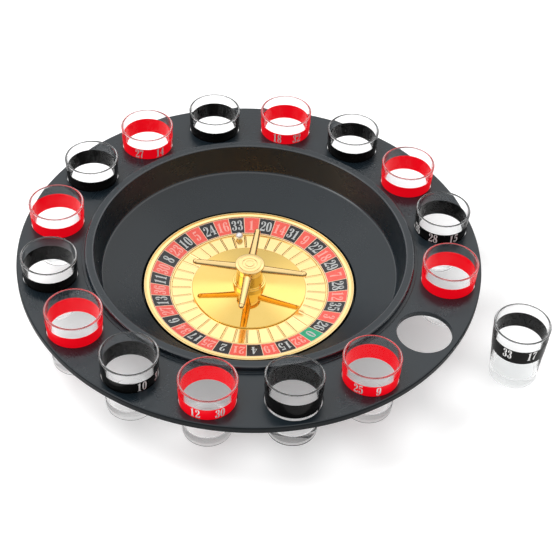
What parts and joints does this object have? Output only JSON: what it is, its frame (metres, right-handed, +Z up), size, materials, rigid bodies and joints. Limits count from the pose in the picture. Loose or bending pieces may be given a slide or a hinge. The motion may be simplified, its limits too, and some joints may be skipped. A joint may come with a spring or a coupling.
{
  "type": "roulette wheel",
  "caption": "Tabletop roulette wheel: black bowl inside a flat ring of cup holes with shot glasses, and a gold rotor with number ring, ball pockets, cone and turret.",
  "frame": {"origin": "on the rotor's axis in the plane of the bowl's foot ring, which is the table's surface", "axes": "+Z up along the rotor's axis; +X towards the side where the loose glass stands; +Y away from the viewer"},
  "size_m": [0.3282, 0.29, 0.0581],
  "materials": {
    "black_plastic": "satin moulded black ABS",
    "gold_plating": "vacuum-metallised mirror gold on moulded plastic",
    "number_print": "glossy printed film in red, black and green with pale numerals",
    "steel": "turned steel",
    "nylon": "natural nylon",
    "brass": "turned brass",
    "ball_steel": "polished steel",
    "clear_glass": "clear pressed glass",
    "band_red": "glossy red enamel print with white numerals",
    "band_black": "glossy black enamel print with white numerals"
  },
  "bodies": {
    "root": {"cup_rack": "black_plastic", "bowl": "black_plastic", "spindle": "steel", "spindle_washer": "steel", "spindle_nut": "steel", "thrust_washer": "nylon", "retaining_clip": "steel"},
    "rotor": {"rotor_pan": "gold_plating", "number_ring": "number_print", "pocket_ring": "gold_plating", "cone_disc": "gold_plating", "hub_bush": "brass", "turret_column": "gold_plating", "turret_arms": "gold_plating", "turret_cap": "gold_plating"},
    "ball": {"ball": "ball_steel"},
    "glass_01": {"shot_glass_01": "clear_glass", "number_band_01": "band_red"},
    "glass_02": {"shot_glass_02": "clear_glass", "number_band_02": "band_black"},
    "glass_03": {"shot_glass_03": "clear_glass", "number_band_03": "band_red"},
    "glass_04": {"shot_glass_04": "clear_glass", "number_band_04": "band_black"},
    "glass_05": {"shot_glass_05": "clear_glass", "number_band_05": "band_red"},
    "glass_06": {"shot_glass_06": "clear_glass", "number_band_06": "band_black"},
    "glass_07": {"shot_glass_07": "clear_glass", "number_band_07": "band_red"},
    "glass_08": {"shot_glass_08": "clear_glass", "number_band_08": "band_black"},
    "glass_09": {"shot_glass_09": "clear_glass", "number_band_09": "band_red"},
    "glass_10": {"shot_glass_10": "clear_glass", "number_band_10": "band_black"},
    "glass_11": {"shot_glass_11": "clear_glass", "number_band_11": "band_red"},
    "glass_12": {"shot_glass_12": "clear_glass", "number_band_12": "band_black"},
    "glass_13": {"shot_glass_13": "clear_glass", "number_band_13": "band_red"},
    "glass_14": {"shot_glass_14": "clear_glass", "number_band_14": "band_black"},
    "glass_15": {"shot_glass_15": "clear_glass", "number_band_15": "band_red"},
    "glass_16": {"shot_glass_16": "clear_glass", "number_band_16": "band_black"}
  },
  "joints": [
    {"name": "rotor_spin", "type": "hinge", "parent": "root", "child": "rotor", "pos_m": [0, 0, 0.01], "axis": [0, 0, 1], "continuous": true},
    {"name": "ball_lift", "type": "slide", "parent": "rotor", "child": "ball", "axis": [0, 0, 1], "range_m": [0, 0.03]},
    {"name": "glass_01_lift", "type": "slide", "parent": "root", "child": "glass_01", "axis": [0, 0, 1], "range_m": [0, 0.06]},
    {"name": "glass_02_lift", "type": "slide", "parent": "root", "child": "glass_02", "axis": [0, 0.0872, 0.9962], "range_m": [0, 0.06]},
    {"name": "glass_03_lift", "type": "slide", "parent": "root", "child": "glass_03", "axis": [0, 0, 1], "range_m": [0, 0.06]},
    {"name": "glass_04_lift", "type": "slide", "parent": "root", "child": "glass_04", "axis": [0, 0, 1], "range_m": [0, 0.06]},
    {"name": "glass_05_lift", "type": "slide", "parent": "root", "child": "glass_05", "axis": [0, 0, 1], "range_m": [0, 0.06]},
    {"name": "glass_06_lift", "type": "slide", "parent": "root", "child": "glass_06", "axis": [0, 0, 1], "range_m": [0, 0.06]},
    {"name": "glass_07_lift", "type": "slide", "parent": "root", "child": "glass_07", "axis": [0, 0, 1], "range_m": [0, 0.06]},
    {"name": "glass_08_lift", "type": "slide", "parent": "root", "child": "glass_08", "axis": [0, 0, 1], "range_m": [0, 0.06]},
    {"name": "glass_09_lift", "type": "slide", "parent": "root", "child": "glass_09", "axis": [0, 0, 1], "range_m": [0, 0.06]},
    {"name": "glass_10_lift", "type": "slide", "parent": "root", "child": "glass_10", "axis": [0, 0, 1], "range_m": [0, 0.06]},
    {"name": "glass_11_lift", "type": "slide", "parent": "root", "child": "glass_11", "axis": [0, 0, 1], "range_m": [0, 0.06]},
    {"name": "glass_12_lift", "type": "slide", "parent": "root", "child": "glass_12", "axis": [0, 0, 1], "range_m": [0, 0.06]},
    {"name": "glass_13_lift", "type": "slide", "parent": "root", "child": "glass_13", "axis": [0, 0, 1], "range_m": [0, 0.06]},
    {"name": "glass_14_lift", "type": "slide", "parent": "root", "child": "glass_14", "axis": [0, 0, 1], "range_m": [0, 0.06]},
    {"name": "glass_15_lift", "type": "slide", "parent": "root", "child": "glass_15", "axis": [0, 0, 1], "range_m": [0, 0.06]},
    {"name": "glass_16_lift", "type": "slide", "parent": "root", "child": "glass_16", "axis": [0, 0, 1], "range_m": [0, 0.06]}
  ]
}
